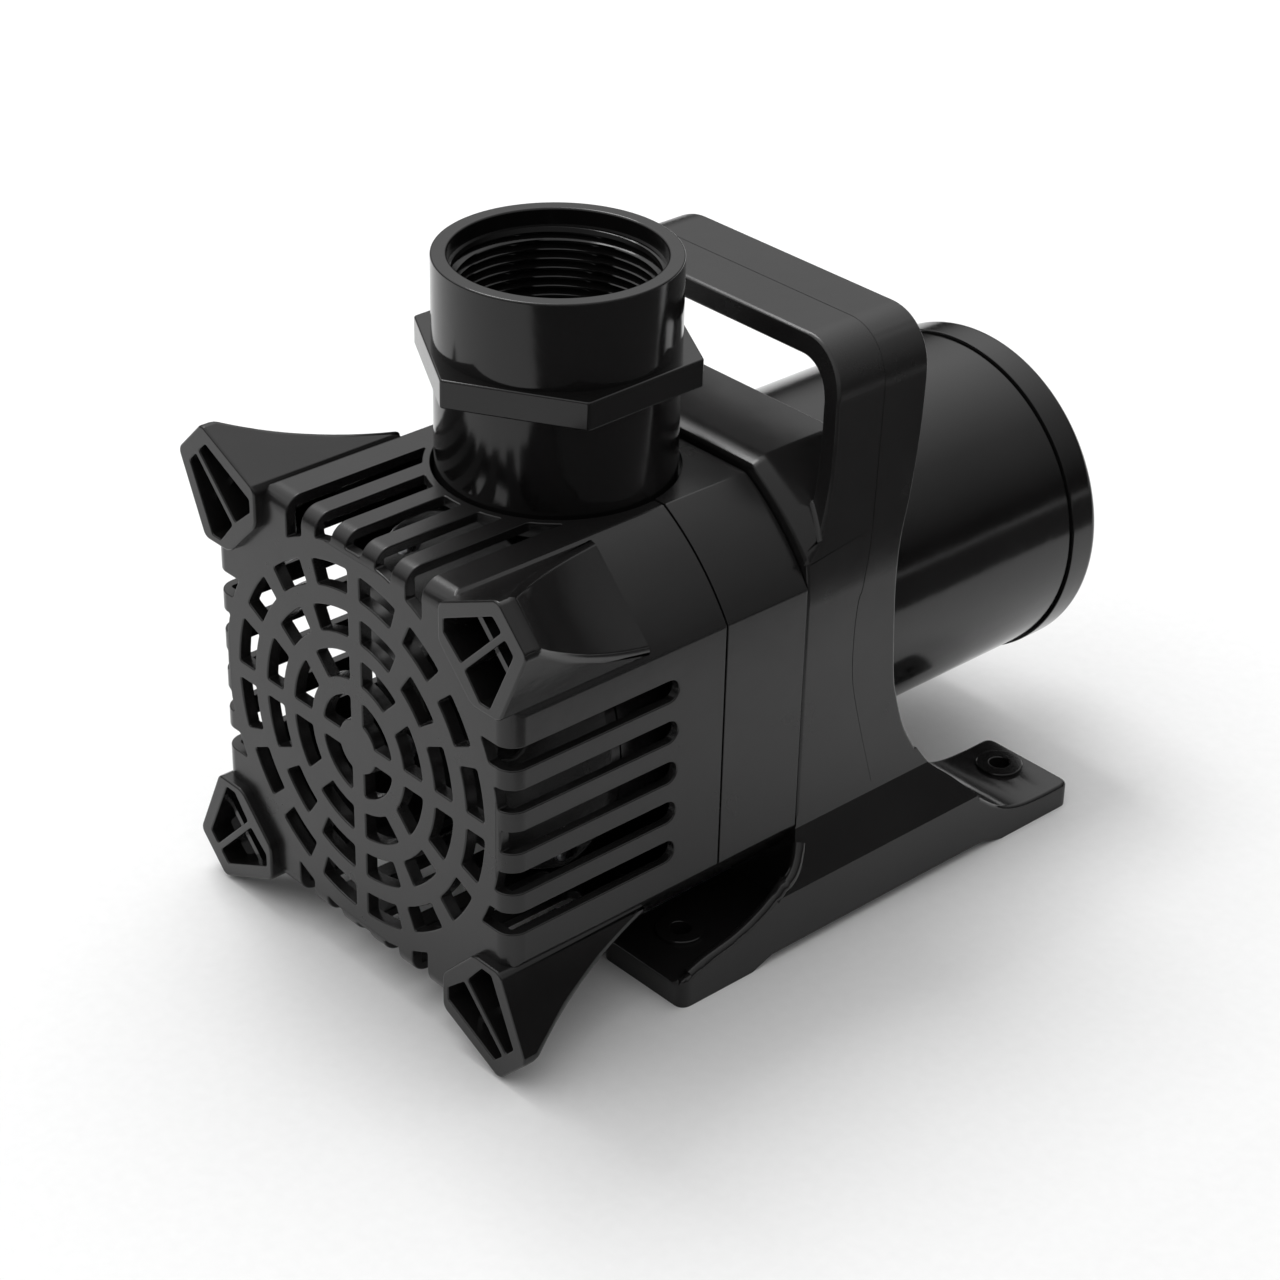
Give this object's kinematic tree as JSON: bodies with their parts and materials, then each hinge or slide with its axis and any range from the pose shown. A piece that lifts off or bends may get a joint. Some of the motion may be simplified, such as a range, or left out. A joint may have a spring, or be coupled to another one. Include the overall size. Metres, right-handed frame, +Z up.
{
  "type": "fountain submersible pump",
  "caption": "Submersible pump with a square slotted strainer cage with flared corners, a cylindrical motor, a carrying handle on a two-footed stand and a threaded top outlet.",
  "frame": {"origin": "on the floor under the middle of the pump's overall box", "axes": "+Z up, -Y towards the strainer's grille, +Y along the shaft towards the motor's end cap, +X to the pump's right seen from behind"},
  "size_m": [0.127, 0.2246, 0.1713],
  "materials": {
    "black_plastic": "satin moulded",
    "gloss_black_plastic": "semi-gloss moulded",
    "white_plastic": "moulded",
    "black_rubber": "moulded rubber",
    "stainless_steel": "stainless",
    "ceramic": "ground ceramic",
    "ferrite": "sintered",
    "lamination_steel": "stacked laminations",
    "copper_winding": "enamelled wire"
  },
  "bodies": {
    "pump_body": {"rear_cage": "black_plastic", "handle_and_stand": "black_plastic", "outlet_adapter": "gloss_black_plastic", "motor_housing": "gloss_black_plastic", "motor_end_cap": "gloss_black_plastic", "volute_housing": "black_plastic", "volute_cover": "black_plastic", "volute_seal": "black_rubber", "outlet_seal": "black_rubber", "end_cap_seal": "black_rubber", "gland_seal": "black_rubber", "front_bush_seat": "black_rubber", "back_bush_seat": "black_rubber", "gland_body": "black_plastic", "gland_cap": "black_plastic", "gland_nut": "black_plastic", "bearing_carrier": "white_plastic", "right_bobbin": "white_plastic", "left_bobbin": "white_plastic", "front_bush": "ceramic", "back_bush": "ceramic", "stator_core": "lamination_steel", "right_coil": "copper_winding", "left_coil": "copper_winding", "rotor_can": "gloss_black_plastic", "bracket_screw_1": "stainless_steel", "bracket_screw_2": "stainless_steel", "bracket_screw_3": "stainless_steel", "bracket_screw_4": "stainless_steel", "volute_screw_1": "stainless_steel", "volute_screw_2": "stainless_steel", "volute_screw_3": "stainless_steel", "volute_screw_4": "stainless_steel", "end_cap_screw_1": "stainless_steel", "end_cap_screw_2": "stainless_steel", "end_cap_screw_3": "stainless_steel", "end_cap_screw_4": "stainless_steel"},
    "strainer": {"strainer_cage": "black_plastic"},
    "rotor": {"impeller": "white_plastic", "shaft": "ceramic", "rotor_magnet": "ferrite", "rotor_hub": "white_plastic", "rotor_sleeve": "stainless_steel", "front_thrust_washer": "ceramic", "back_thrust_washer": "ceramic"}
  },
  "joints": [
    {"name": "rotor_spin", "type": "hinge", "parent": "pump_body", "child": "rotor", "pos_m": [0, 0, 0.0638], "axis": [0, 1, 0], "continuous": true},
    {"name": "strainer_slide", "type": "slide", "parent": "pump_body", "child": "strainer", "axis": [0, -1, 0], "range_m": [0, 0.07]}
  ]
}
